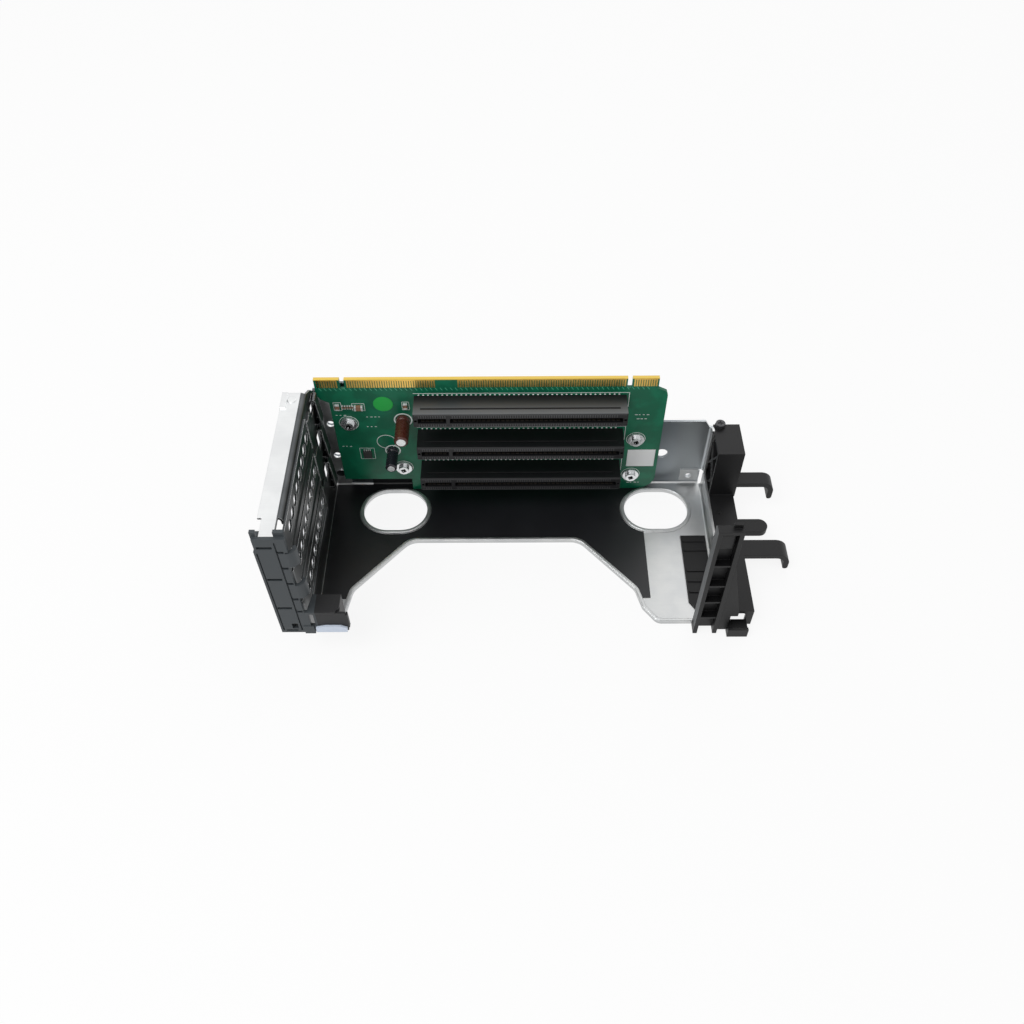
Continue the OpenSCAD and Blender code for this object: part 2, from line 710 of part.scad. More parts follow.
module chip_passives() {
    color([0.45, 0.38, 0.3]) {
        chip_part(-77.6, 55.9, [1.7, 0.9, 3.2], 0);
        chip_part(-68.6, 55.6, [3.6, 1.2, 2.4], 0);
        chip_part(-48.7, 56.4, [1.7, 0.9, 3], 0);
        for (i = [0 : 4]) chip_part(-75.4 + i * 1.05, 55.7, [0.6, 0.45, 2], 0);
    }
}

module board_label() color([0.92, 0.93, 0.92]) block([47.9, -0.12, 17], [60.3, 0, 28]);

module round_sticker() color([0.35, 0.62, 0.2]) rod_y(-58, 57.4, -0.12, 0, 4.2);

// ---------------------------------------------------------------- end bracket

box_x0 = side_x;                     // the moulding lies against the side flange
box_x1 = box_x0 + box_w;
box_back = back_out + 1.5;
rail_front = -plate_depth - 0.3;
rail_x1 = box_x1 - 0.7;
tower_back = -plate_depth - 0.1;
tower_x0 = side_x - 13.8;
tower_x1 = tower_x0 + tower_w;
tower_front = tower_back - tower_d;
rung_z = [47.2, 33.7, 22.4, 11.2];
foot_h = 5;
foot_front = tower_front - 1.8;
foot_x = [box_x0 + 0.1, box_x0 + 8.5];
arch_top = 8.2;
rib_t = 0.9;
boss_at = [box_x0 + 2.9, box_back - 1];
boss_r = 2.4;
boss_screw_r = 1.1;
pad_gap = 0.2;
pad_t = 1.5;

// A cable hook in the XZ plane from x0, with its upper face at z: a strip that turns down
module hook_profile(x0, z, reach, radius, drop) {
    turn_x = x0 + reach - radius;
    translate([x0 - eps, z - hook_t]) square([turn_x - x0 + 2 * eps, hook_t]);
    translate([turn_x, z - radius]) intersection() {
        difference() {
            circle(radius);
            circle(radius - hook_t);
        }
        square(radius);
    }
    translate([turn_x + radius - hook_t, z - drop + hook_t / 2]) square([hook_t, drop - radius - hook_t / 2 + eps]);
    translate([turn_x + radius - hook_t / 2, z - drop + hook_t / 2]) circle(hook_t / 2);
}

module ribbed_box() {
    difference() {
        block([box_x0, -box_front, side_h - plastic_t], [box_x1, box_back, box_top]);
        block([box_x0 - cut, -box_front + plastic_t, side_h], [box_x1 - plastic_t, box_back - plastic_t, box_top - plastic_t]);
    }
    // crossing ribs inside the open side
    intersection() {
        block([box_x0 + 0.4, -box_front + eps, side_h - eps], [box_x1 - eps, box_back - eps, box_top - eps]);
        for (tilt = [-35, 35], step = [-12 : 12 : 12])
            translate([box_x0, (box_back - box_front) / 2 + step / 2, (side_h + box_top) / 2 + step / 2])
                rotate([tilt, 0, 0]) cube([2 * box_w, rib_t, 3 * box_top], center = true);
    }
    difference() {
        translate([boss_at[0], boss_at[1], side_h]) cylinder(h = box_top - side_h + 0.5, r = boss_r);
        translate([boss_at[0], boss_at[1], box_top - 8]) cylinder(h = 9, r = boss_screw_r);
    }
}

module rail() {
    difference() {
        block([box_x0, rail_front, 0], [rail_x1, -box_front + eps, side_h]);
        block([box_x0 - cut, rail_front + plastic_t, -cut], [rail_x1 - plastic_t, -box_front - cut, side_h - plastic_t]);
        // arched mouth in the front wall
        along_y(rail_front - cut, rail_front + plastic_t + cut)
            translate([(foot_x[0] + foot_x[1]) / 2 - 0.2, 0]) {
                square([7.6, 2 * (arch_top - 1.5)], center = true);
                translate([0, arch_top - 3]) square([4.6, 6], center = true);
                for (side = [-1, 1]) translate([side * 2.3, arch_top - 1.5]) circle(1.5);
            }
    }
    translate([box_x0 + 3.2, -21.6, side_h - eps]) cylinder(h = 0.7, r = 0.9);
    // cross ribs under the top
    for (y = [-26, -41, -56]) block([box_x0, y - rib_t / 2, 0.4], [rail_x1 - eps, y + rib_t / 2, side_h - eps]);
}

module cable_hooks() {
    along_y(-box_front + 0.3, -box_front + 7.1) hook_profile(box_x1, 17, hook_reach, 5.4, 10.4);
    along_y(-45.4, -37) hook_profile(rail_x1, side_h, hook_reach + 3.4, 6, side_h - 0.2);
    // straight tab with a round end
    tab_w = 7.1;
    translate([rail_x1, -29, side_h - 3]) linear_extrude(3) {
        translate([-eps, -tab_w / 2]) square([9, tab_w]);
        translate([9, 0]) circle(tab_w / 2);
    }
}

module guide_tower() {
    side_t = 1.7;
    web_t = 1;
    lip_t = 1.6;
    difference() {
        block([tower_x0, tower_front, 0], [tower_x1, tower_back, tower_h]);
        block([tower_x0 + side_t, tower_front - cut, -cut], [tower_x1 - side_t, tower_back - web_t, tower_h - lip_t]);
        // the top slopes down to the back
        along_x(tower_x0 - cut, tower_w + 2 * cut) polygon([
            [tower_back - 1.2, tower_h + cut], [tower_back - 1.2, tower_h], [tower_back + cut, tower_h - 4],
            [tower_back + cut, tower_h + cut]]);
    }
    for (z = rung_z) block([tower_x0 + eps, tower_front + 0.4, z - rib_t / 2], [tower_x1 - eps, tower_back - eps, z + rib_t / 2]);
    // filled panel below the top, and an ear on top of the right wall
    block([tower_x0 + eps, tower_back - 2.9, tower_h - 11.8], [tower_x1 - side_t - 1, tower_back - web_t + eps, tower_h - 4]);
    block([tower_x1 - 3.8, tower_back - 2.4, tower_h - eps], [tower_x1 - 0.5, tower_back - 1.3, tower_h + 1.9]);
}

// Web between the tower and the rail, with its slanting free edge
module gusset() {
    reach = box_x0 + 3.3;
    along_y(tower_front + 1, rail_front + eps) polygon([
        [tower_x1 - eps, 49.4], [reach, 14.5], [reach, 11.4], [box_x0 + 0.4, 11.4],
        [box_x0 + 0.4, 1.4], [tower_x1 - eps, 1.4]]);
    block([box_x0, rail_front - 1, side_h - plastic_t], [reach, rail_front + eps, 11.4]);
}

module foot() {
    block([foot_x[0], foot_front, 0], [foot_x[1], rail_front + eps, foot_h - 1.2]);
    block([foot_x[0], foot_front, 0], [foot_x[1], foot_front + 1.4, foot_h]);
    block([foot_x[0], tower_front + 1, 0], [box_x0 + 0.4, rail_front + eps, foot_h]);
}

// Ribbed pad in the plate's window, joined to the rail through the side flange
module window_pad() {
    low = pad_gap;
    top = low + pad_t;
    // the window's outline, drawn in from its edge
    mid = [(window_x[0] + window_x[1]) / 2, (window_back + window_front) / 2];
    shrink = [for (p = window) [p[0] - pad_gap * sign(p[0] - mid[0]), p[1] - pad_gap * sign(p[1] - mid[1])]];
    translate([0, 0, low]) linear_extrude(pad_t) polygon(shrink);
    for (y = [window_back - 3.5, window_back - 8.5, pad_slot[1] + 2.5, pad_slot[1] - 3, pad_slot[1] - 8.5])
        block([window[0][0] + 0.8, y - 0.5, low + eps], [window[1][0] - 0.8, y + 0.5, top + 0.5]);
    z0 = sheet_t + bend_r + 0.2;
    z1 = z0 + pad_slot_h - 0.4;
    block([window[1][0] - 3.4, pad_slot[0] + 0.3, low + eps], [window[1][0] - 1, pad_slot[1] - 0.3, z1]);
    block([window[1][0] - 3.4, pad_slot[0] + 0.3, z0], [box_x0 + 3, pad_slot[1] - 0.3, z1]);
}

module end_bracket() {
    color(charcoal) {
        difference() {
            union() {
                ribbed_box();
                rail();
                cable_hooks();
                guide_tower();
                gusset();
                foot();
                window_pad();
            }
            translate([boss_at[0], boss_at[1], box_top - 8]) cylinder(h = 9, r = boss_screw_r);
        }
    }
}

module bracket_screw() {
    seat = box_top + 0.5;
    color([0.3, 0.3, 0.32]) translate([boss_at[0], boss_at[1], 0]) difference() {
        union() {
            translate([0, 0, seat]) cylinder(h = 1.4, r = 2.1);
            translate([0, 0, box_top - 7.5]) cylinder(h = 8.5, r = boss_screw_r);
        }
        for (turn = [0, 90]) translate([0, 0, seat + 1.4]) rotate([0, 0, turn]) cube([2.4, 0.6, 1.2], center = true);
    }
}

// ---------------------------------------------------------------- latch

latch_x0 = wall_in - 9.4;
latch_x1 = latch_x0 + latch_w;
latch_back = shelf_front - cover_t - 0.7;
latch_front = latch_back - latch_t;
latch_top = port_h + 1.7;
rim_w = 0.6;                         // rim along the outer edge
rim_top = pin_z - 3.5;
post_y = [latch_back - eps, pin_y - 2.1];
post_1 = [latch_x0 - 0.5, eye_x[0] - 0.3];
post_2 = [eye_x[1] + 0.3, eye_x[1] + 4.2];
boss_end = wall_in - 0.3;            // the boss round the pin stops short of the top cover
column_x = latch_x0 + 7.8;           // line between the two columns of panels
narrow_x = latch_x1 - 1.2;           // right edge of the panels between the fingers
touch_top = slot_z(3) + 11.5;
touch_x = [wall_in + 4.1, wall_in + 17.6];
touch_right = wall_in + 14.6;
touch_back = latch_front + 8.7;
finger_h = 8.4;
finger_low = 1.3;                    // lower edge of a finger above the card's plane

module latch_post(x, boss_x1) {
    low = slot_z(1) + cover_mid + cover_w / 2 + 0.3;
    difference() {
        block([x[0], post_y[0], low], [x[1], post_y[1], pin_z + post_top]);
        translate([x[0] - cut, post_y[0] - 1, pin_z + post_top + 0.1]) rotate([45, 0, 0])
            cube([x[1] - x[0] + 2 * cut, 1, 1.4], center = false);
    }
    rod_x(pin_y, pin_z, x[0], boss_x1, pin_r + 0.8);
    block([x[0], post_y[1] - eps, pin_z - 0.1], [boss_x1, pin_y, pin_z + 1.4]);
}

// A finger that curls back past the cover's bend
module curled_finger(z) {
    turn = [latch_x1 - 0.9, latch_front + finger_r];
    translate([0, 0, z]) linear_extrude(finger_h) {
        translate(turn) intersection() {
            difference() {
                circle(finger_r);
                circle(finger_r - latch_t);
            }
            translate([0, -finger_r]) square(finger_r);
        }
        translate([turn[0] + finger_r - latch_t, turn[1] - eps]) square([latch_t, 0.8]);
        translate([narrow_x - eps, latch_front]) square([turn[0] - narrow_x + 2 * eps, latch_t]);
    }
}

module touch_box() {
    corner = 3.8;
    wall = 1.3;
    under = touch_top - wall;
    left = latch_x1 + 0.9;
    translate([0, 0, under]) linear_extrude(wall) polygon(concat(
        [[touch_right, touch_back], [left, touch_back], [left - 1.2, latch_back], [column_x + 1, latch_back],
         [column_x + 1, latch_front]],
        corner_arc([column_x + 1, latch_front], [touch_right, latch_front], [touch_right, touch_back], corner)));
    // side wall and back wall of the box
    block([touch_right - wall, latch_back, latch_low + 2], [touch_right, touch_back, under + eps]);
    block([left, touch_back - wall, latch_low + 9], [touch_right, touch_back, under + eps]);
    // scooped grip below the box
    block([touch_x[0], latch_front + 0.5, latch_low + 0.6], [touch_x[1] - 0.7, latch_back, under + eps]);
    block([touch_x[1] - 0.7, latch_front + 0.3, latch_low + 3], [touch_x[1], latch_back + 0.6, under - 1]);
    // block that joins the grip to the bar
    block([column_x + 1, latch_front - 0.3, latch_low - 0.5], [latch_x1 + 1.1, latch_back, latch_low + 4.6]);
    block([latch_x1 + 1, latch_front + 0.5, latch_low + 0.6], [touch_x[0] + eps, latch_back, latch_low + 4.6]);
    block([narrow_x - eps, latch_front, latch_low + 4], [latch_x1, latch_back, under + eps]);
}

module latch_grooves() {
    slot_h = 1.4;
    for (z = [slot_z(1) + 13.2, slot_z(1) - 6.5, slot_z(2) - 5.5])
        block([latch_x0 + 0.9, latch_front - cut, z - slot_h / 2], [column_x - 1.3, latch_back + cut, z + slot_h / 2]);
    // small window and slot at the lower end
    block([latch_x0 + 4.3, latch_front - cut, latch_low + 2.9], [column_x - 1.1, latch_back + cut, latch_low + 6.4]);
    block([latch_x0 + 1.6, latch_front - cut, latch_low + 1], [column_x - 1.6, latch_front + 0.7, latch_low + 2]);
    // gaps under the panels of the right column
    for (z = [slot_z(1) + 10.5, slot_z(1) + finger_low - 0.6, slot_z(2) + 11.1, slot_z(2) + finger_low - 0.6, slot_z(3) + 12.4])
        block([column_x - 0.3, latch_front - cut, z - slot_h / 2], [narrow_x - 0.4, latch_front + 0.9, z + slot_h / 2]);
    groove = 0.6;
    block([latch_x0 + 0.3, latch_front - cut, latch_low + 1.6], [latch_x0 + 0.8, latch_front + groove, rim_top - 1]);
    block([column_x - 0.3, latch_front - cut, latch_low + 1.6], [column_x + 0.3, latch_front + groove, latch_top - 2]);
}

module card_latch() {
    color([0.3, 0.31, 0.32]) difference() {
        union() {
            difference() {
                union() {
                    block([latch_x0, latch_front, latch_low], [narrow_x, latch_back, latch_top]);
                    block([narrow_x - eps, latch_front, slot_z(1) + 10.5], [latch_x1, latch_back, latch_top]);
                }
                latch_grooves();
            }
            block([latch_x0 - rim_w, latch_front, latch_low], [latch_x0 + 0.3, latch_back + 0.5, rim_top]);
            latch_post(post_1, post_1[1]);
            latch_post(post_2, boss_end);
            for (k = [1 : 2]) curled_finger(slot_z(k) + finger_low);
            touch_box();
        }
        rod_x(pin_y, pin_z, post_1[0] - cut, boss_end + cut, pin_r);
    }
}

module latch_pin() color([0.75, 0.76, 0.78]) rod_x(pin_y, pin_z, post_1[0], boss_end, pin_r);

// Coloured strip along the grip's lower edge, slightly arched
module touch_strip() {
    color([0.45, 0.55, 0.75])
        along_y(latch_front - 0.4, latch_front + 0.5) polygon([
            [touch_x[0], latch_low + 0.6], [touch_x[1] - 1.2, latch_low + 0.6], [touch_x[1] - 0.9, latch_low + 3.2],
            [touch_x[1] - 3.6, latch_low + 4.6], [touch_x[0] + 4, latch_low + 4.6], [touch_x[0], latch_low + 3.6]]);
}

// ---------------------------------------------------------------- assembly

base_tray();
port_wall();
wall_rivets();
insulating_film();
slot_cover_1();
slot_cover_2();
slot_cover_3();
riser_board();
edge_contacts();
slot_connector_1();
slot_connector_2();
slot_connector_3();
slot_contacts_1();
slot_contacts_2();
slot_contacts_3();
brown_capacitor();
black_capacitor();
board_screws();
board_standoffs();
control_chip();
chip_passives();
board_label();
round_sticker();
end_bracket();
bracket_screw();
card_latch();
latch_pin();
touch_strip();
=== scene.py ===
# %% [markdown]
# Riser cage bracket, with its finishes and small parts.
#
# The real object is a folded steel cage out of a rack server. It holds an upright circuit board
# with three long card connectors, a port wall with blank covers on the left, and black plastic
# mouldings at both ends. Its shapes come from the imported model, which never moves. This file adds
# what gives the object its look: finishes for each surface, and the small parts that the solids
# leave out, such as solder joints, the walls between contact cavities and printed board marks.

import math
import random

import bpy
from mathutils import Matrix, Vector


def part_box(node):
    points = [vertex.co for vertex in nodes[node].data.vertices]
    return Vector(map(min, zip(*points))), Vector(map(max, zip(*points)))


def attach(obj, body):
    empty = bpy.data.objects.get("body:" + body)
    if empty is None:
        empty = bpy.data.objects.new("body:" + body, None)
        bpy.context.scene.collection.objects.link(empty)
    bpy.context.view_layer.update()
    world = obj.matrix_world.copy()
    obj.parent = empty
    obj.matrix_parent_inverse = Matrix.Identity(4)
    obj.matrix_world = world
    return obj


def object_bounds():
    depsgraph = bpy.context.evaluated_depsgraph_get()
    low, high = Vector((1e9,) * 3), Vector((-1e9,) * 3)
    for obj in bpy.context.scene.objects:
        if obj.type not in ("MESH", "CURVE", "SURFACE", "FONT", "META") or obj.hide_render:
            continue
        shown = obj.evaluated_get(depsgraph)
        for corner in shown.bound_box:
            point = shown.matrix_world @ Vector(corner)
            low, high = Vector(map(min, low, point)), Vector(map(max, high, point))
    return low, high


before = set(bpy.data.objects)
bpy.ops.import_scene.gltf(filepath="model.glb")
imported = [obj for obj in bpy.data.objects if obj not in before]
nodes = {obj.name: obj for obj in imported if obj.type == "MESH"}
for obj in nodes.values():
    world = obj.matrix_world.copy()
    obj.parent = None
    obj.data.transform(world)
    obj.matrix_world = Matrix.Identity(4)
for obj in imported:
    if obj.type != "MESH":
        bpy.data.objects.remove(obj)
cad_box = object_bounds()
print("pieces of the packed model:", len(nodes))
print("its box in metres:", [[round(c, 4) for c in corner] for corner in cad_box])

# %% [markdown]
# All lengths in the workshop drawings are millimetres, and Blender works in metres, so one small
# helper turns a point in millimetres into a Blender vector.

# %% Millimetres to metres
MM = 0.001


def mm(x, y, z):
    return Vector((x * MM, y * MM, z * MM))


# %% [markdown]
# The camera stands in front of the cage and looks down at it at a little over fifty degrees, as
# someone does who leans over a table. A matrix made of the camera's right, up and back directions
# sets the exact turn, which is easier to keep than three Euler angles.

# %% Camera
camera_data = bpy.data.cameras.new("table_camera")
camera_data.sensor_width = 36
camera_data.lens = 34.054
camera_data.clip_start = 0.01
camera_data.clip_end = 20
camera = bpy.data.objects.new("table_camera", camera_data)
bpy.context.scene.collection.objects.link(camera)

right = Vector((0.999969, 0.000250, -0.007838)).normalized()
ahead = Vector((-0.006285, 0.623394, -0.781882)).normalized()
up = right.cross(ahead)
turn = Matrix((right, up, -ahead)).transposed()
camera.matrix_world = Matrix.Translation(mm(-1.14, -290.82, 348.56)) @ turn.to_4x4()
bpy.context.scene.camera = camera
print("camera looks down at", round(math.degrees(math.asin(-ahead.z)), 1), "degrees")

# %% [markdown]
# Shader maths reads best as plain arithmetic. This class wraps one output socket of a node and
# overloads the operators, so that `1 - mask * 0.5` adds the Math nodes by itself. Numbers alone
# stay numbers, so nothing is added for what Python can work out.

# %% A socket that does arithmetic


class Wire:
    def __init__(self, finish, socket):
        self.finish = finish
        self.socket = socket

    def math(self, operation, *others):
        sockets = dict(enumerate([self, *others]))
        node = self.finish.add("ShaderNodeMath", {"operation": operation}, sockets)
        return Wire(self.finish, node.outputs[0])

    def __add__(self, other):
        return self.math("ADD", other)

    def __mul__(self, other):
        return self.math("MULTIPLY", other)

    def __sub__(self, other):
        return self.math("SUBTRACT", other)

    def __rsub__(self, other):
        return (self * -1) + other

    def __gt__(self, other):
        return self.math("GREATER_THAN", other)

    def __lt__(self, other):
        return self.math("LESS_THAN", other)

    def __pow__(self, other):
        return self.math("POWER", other)

    def steps(self, low, high):
        """0 below low, 1 above high, and smooth in between."""
        node = self.finish.add(
            "ShaderNodeMapRange",
            {"interpolation_type": "SMOOTHSTEP"},
            {"Value": self, "From Min": low, "From Max": high},
        )
        return Wire(self.finish, node.outputs["Result"])


# %% [markdown]
# A finish is one material. `add` makes any node from its type, its settings and its sockets, and
# `place` gives the object coordinates, which here are plain positions in the cage, because every
# piece sits at the origin.

# %% A finish


class Finish:
    def __init__(self, name, **sockets):
        self.material = bpy.data.materials.new(name)
        self.material.use_nodes = True
        self.tree = self.material.node_tree
        self.tree.nodes.clear()
        self.shader = self.add("ShaderNodeBsdfPrincipled", {}, sockets)
        surface = {"Surface": self.out(self.shader, "BSDF")}
        self.output = self.add("ShaderNodeOutputMaterial", {}, surface)

    def add(self, kind, settings, sockets):
        node = self.tree.nodes.new(kind)
        for name, value in settings.items():
            setattr(node, name, value)
        self.feed(node, sockets)
        return node

    def feed(self, node, sockets):
        for key, value in sockets.items():
            target = node.inputs[key]
            if isinstance(value, Wire):
                self.tree.links.new(value.socket, target)
            elif target.type == "RGBA" and len(value) == 3:
                target.default_value = (*value, 1)
            else:
                target.default_value = value

    def set(self, **sockets):
        self.feed(self.shader, {name.replace("_", " "): value for name, value in sockets.items()})

    def out(self, node, name):
        return Wire(self, node.outputs[name])

    def place(self):
        return self.out(self.add("ShaderNodeTexCoord", {}, {}), "Object")

    def axes(self):
        """The position in millimetres, as three wires."""
        split = self.add("ShaderNodeSeparateXYZ", {}, {"Vector": self.place()})
        return [self.out(split, axis) * 1000 for axis in "XYZ"]

    def stretched(self, x, y, z):
        mapping = self.add("ShaderNodeMapping", {}, {"Vector": self.place(), "Scale": (x, y, z)})
        return self.out(mapping, "Vector")

    def noise(self, scale, detail=3.0, roughness=0.5, vector=None):
        node = self.add(
            "ShaderNodeTexNoise",
            {},
            {"Vector": vector or self.place(), "Scale": scale, "Detail": detail, "Roughness": roughness},
        )
        return self.out(node, "Fac")

    def mixed(self, factor, first, second):
        node = self.add("ShaderNodeMix", {"data_type": "RGBA"}, {0: factor, 6: first, 7: second})
        return Wire(self, node.outputs[2])

    def bumped(self, height, distance, strength=1.0, normal=None):
        sockets = {"Height": height, "Distance": distance, "Strength": strength}
        if normal:
            sockets["Normal"] = normal
        node = self.add("ShaderNodeBump", {}, sockets)
        return self.out(node, "Normal")

    def rounded_edges(self, radius):
        node = self.add("ShaderNodeBevel", {"samples": 4}, {"Radius": radius * MM})
        return self.out(node, "Normal")

    def painted_edge_highlight(self, radius):
        """1 along sharp edges, where a painted highlight goes, and 0 on the faces between."""
        flat = self.out(self.add("ShaderNodeNewGeometry", {}, {}), "True Normal")
        sockets = {0: self.rounded_edges(radius), 1: flat}
        dot = self.add("ShaderNodeVectorMath", {"operation": "DOT_PRODUCT"}, sockets)
        return (1 - self.out(dot, "Value")).steps(0.01, 0.1)


def wear(finish, *names):
    """Gives a finish to CAD nodes, which keep their shape."""
    for name in names:
        node = nodes[name]
        node.data.materials.clear()
        node.data.materials.append(finish.material)


# %% [markdown]
# The cage is folded from galvanised sheet. Its colour and roughness drift a little in soft clouds,
# rolling has left faint lines along it, and a painted highlight makes its edges bright.
# The back wall and the port wall stand upright and get painted shade: they are darker than the plate and
# the top flange.

# %% Galvanised steel


def galvanised(name, colour, dark, roughness, shaded=None):
    """shaded is a function from the position to a mask and the two tones that hold inside it."""
    finish = Finish(name, Metallic=1.0)
    cloud = finish.noise(90.0, 4.0)
    rolled = finish.noise(1.0, 3.0, 0.6, finish.stretched(60, 2600, 2600))
    tone = (cloud * 0.8 + rolled * 0.2).steps(0.3, 0.75)
    base = finish.mixed(tone, (*dark, 1), (*colour, 1))
    if shaded:
        mask, other = shaded(finish, tone)
        base = finish.mixed(mask, base, other)
    finish.set(
        # Painted highlight: the colour along the edges is mixed towards a bright grey, where light would
        # catch them.
        Base_Color=finish.mixed(finish.painted_edge_highlight(0.22) * 0.8, base, (0.78, 0.79, 0.79, 1)),
        Roughness=cloud * 0.14 + rolled * 0.08 + (roughness - 0.1),
        Normal=finish.bumped(rolled, 0.00002, 0.3, finish.rounded_edges(0.25)),
    )
    return finish


# Painted shade: the back wall is painted darker than the plate, darkest at its left and lighter towards its
# right end.
def back_wall_painted_shade(finish, tone):
    x, y, z = finish.axes()
    wall = (y > back_wall_front) * (z > 1.6)
    fade = x.steps(58, 84)
    return wall, finish.mixed(fade, (0.130, 0.150, 0.165, 1), (0.42, 0.445, 0.46, 1))


# Painted shade: the port wall below its top flange is painted nearly black.
def port_wall_painted_shade(finish, tone):
    _, y, z = finish.axes()
    below_flange = (z < port_top - 0.9) * (y < 2.5)
    return below_flange, finish.mixed(tone, (0.070, 0.074, 0.077, 1), (0.115, 0.120, 0.124, 1))


back_wall_front = 3.6
port_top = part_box("port_wall")[1].z / MM
plate_steel = galvanised("plate_steel", (0.60, 0.605, 0.60), (0.50, 0.51, 0.515), 0.36, back_wall_painted_shade)
wear(plate_steel, "base_tray")
port_steel = galvanised("port_steel", (0.82, 0.83, 0.83), (0.74, 0.75, 0.755), 0.34, port_wall_painted_shade)
wear(port_steel, "port_wall", "slot_cover_1", "slot_cover_2", "slot_cover_3", "wall_rivets")

# %% [markdown]
# A thin black film lies on the plate, under the cards. It is smooth and dark, with the fine
# scratches that boards leave when they slide over it.

# %% Insulating film
film = Finish("black_film")
haze = film.noise(40.0, 4.0)
scratch = film.noise(1.0, 2.0, 0.5, film.stretched(90, 3000, 3000))
film.set(
    Base_Color=film.mixed(haze, (0.004, 0.004, 0.005, 1), (0.009, 0.010, 0.012, 1)),
    Roughness=haze * 0.12 + scratch * 0.08 + 0.24,
    Specular_IOR_Level=0.5,
    Normal=film.bumped(haze * 0.7 + scratch * 0.3, 0.00004, 0.3),
)
wear(film, "insulating_film")

# %% [markdown]
# The board is glass fibre in epoxy under green solder mask. Where the mask ends, along the contact
# edge, the bare laminate is yellow. Copper under the mask shows as slightly lighter lanes.

# %% Circuit board
board = Finish("green_board", **{"Coat Weight": 0.12, "Coat Roughness": 0.2, "Specular IOR Level": 0.3})
height = board.axes()[2]
patches = board.noise(120.0, 3.0)
lanes = board.out(
    board.add(
        "ShaderNodeTexBrick",
        {"offset": 0.37},
        {"Vector": board.stretched(1, 0, 1), "Scale": 330.0, "Mortar Size": 0.012},
    ),
    "Fac",
)
copper = (patches.steps(0.42, 0.62)) * 0.6 + lanes * 0.4
mask = board.mixed(copper, (0.000, 0.085, 0.042, 1), (0.001, 0.145, 0.072, 1))
laminate = (0.80, 0.56, 0.10, 1)
laminate_h = 0.35                    # height of the bare strip along the contact edge
board_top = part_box("riser_board")[1].z / MM
is_edge = height > (board_top - laminate_h)
board.set(
    Base_Color=board.mixed(is_edge, mask, laminate),
    Roughness=patches * 0.1 + 0.38,
    Normal=board.bumped(copper, 0.00003, 0.5, board.rounded_edges(0.15)),
)
wear(board, "riser_board")

# %% [markdown]
# Hard gold plate on the edge contacts is a warm yellow metal, worn smooth by the slot that the
# board plugs into.

# %% Gold
gold = Finish("contact_gold", Metallic=1.0)
rub = gold.noise(1.0, 3.0, 0.5, gold.stretched(2500, 2500, 300))
gold.set(
    Base_Color=gold.mixed(rub, (0.83, 0.50, 0.10, 1), (0.95, 0.66, 0.20, 1)),
    Roughness=rub * 0.2 + 0.2,
    Normal=gold.bumped(rub, 0.00001, 0.3),
)
wear(gold, "edge_contacts")

# %% [markdown]
# The housings of the connectors and the two mouldings at the ends are black plastic. A mould's
# spark-eroded surface leaves a fine grain, and handling polishes the edges a little.

# %% Black plastics


def moulded(name, dark, light, roughness, grain, specular=0.5, edge=0.3, shaded=None):
    finish = Finish(name, **{"Specular IOR Level": specular})
    fine = finish.noise(grain, 2.0, 0.6)
    cloud = finish.noise(70.0, 3.0)
    base = finish.mixed(cloud, (*dark, 1), (*light, 1))
    if shaded:
        mask, other = shaded(finish)
        base = finish.mixed(mask, base, (*other, 1))
    finish.set(
        Base_Color=base,
        Roughness=cloud * 0.1 + fine * 0.08 + (roughness - 0.09),
        Normal=finish.bumped(fine, 0.00003, 0.35, finish.rounded_edges(edge)),
    )
    return finish




# Painted light: the upper face of the top connector is painted lighter grey, most towards its front edge,
# as if lit from above.
def top_face_painted_light(finish):
    _, y, z = finish.axes()
    return z.steps(connector_top - 0.3, connector_top) * (y * -1).steps(1, 12), (0.120, 0.126, 0.130)


# Painted reflection: the left side of the tower on the end moulding is painted lighter grey, as if it
# reflects light from the steel.
def tower_side_painted_light(finish):
    x, y, z = finish.axes()
    return (y < tower_back) * (z > 5.2) * (x < tower_side), (0.110, 0.115, 0.120)


# Painted shade: the lower right part of the latch, its grip and touch box, is painted near black, as if in
# shade.
def grip_painted_shade(finish):
    x, _, z = finish.axes()
    return (x > grip_left) * (z < grip_top), (0.008, 0.008, 0.009)


connector_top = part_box("slot_connector_1")[1].z / MM
tower_back = -73.55
tower_side = 71.6
grip_left = -81
grip_top = 30
housing = moulded(
    "connector_housing", (0.004, 0.004, 0.005), (0.008, 0.008, 0.009), 0.45, 4200.0, 0.35, 0.2, top_face_painted_light
)
wear(housing, "slot_connector_1", "slot_connector_2", "slot_connector_3")
bracket_black = moulded(
    "bracket_black", (0.003, 0.003, 0.0035), (0.006, 0.006, 0.0065), 0.46, 2600.0, 0.3, 0.3, tower_side_painted_light
)
wear(bracket_black, "end_bracket")
latch_grey = moulded(
    "latch_grey", (0.034, 0.041, 0.046), (0.050, 0.060, 0.067), 0.5, 2600.0, 0.4, 0.3, grip_painted_shade
)
wear(latch_grey, "card_latch")
strip_blue = moulded("touch_strip_blue", (0.58, 0.66, 0.80), (0.68, 0.75, 0.86), 0.45, 2600.0)
wear(strip_blue, "touch_strip")

# %% [markdown]
# Screws and standoffs are plated: brighter than the sheet, with painted shade in the hollow of each head.

# %% Plated small parts
plated = Finish("bright_plating", Metallic=1.0)
swirl = plated.noise(700.0, 2.0)
washer_front = -1.3
SCREWS = [(-74, 45.9), (-52.9, 17), (50.8, 34.9), (50.4, 11.4)]
px, py, pz = plated.axes()
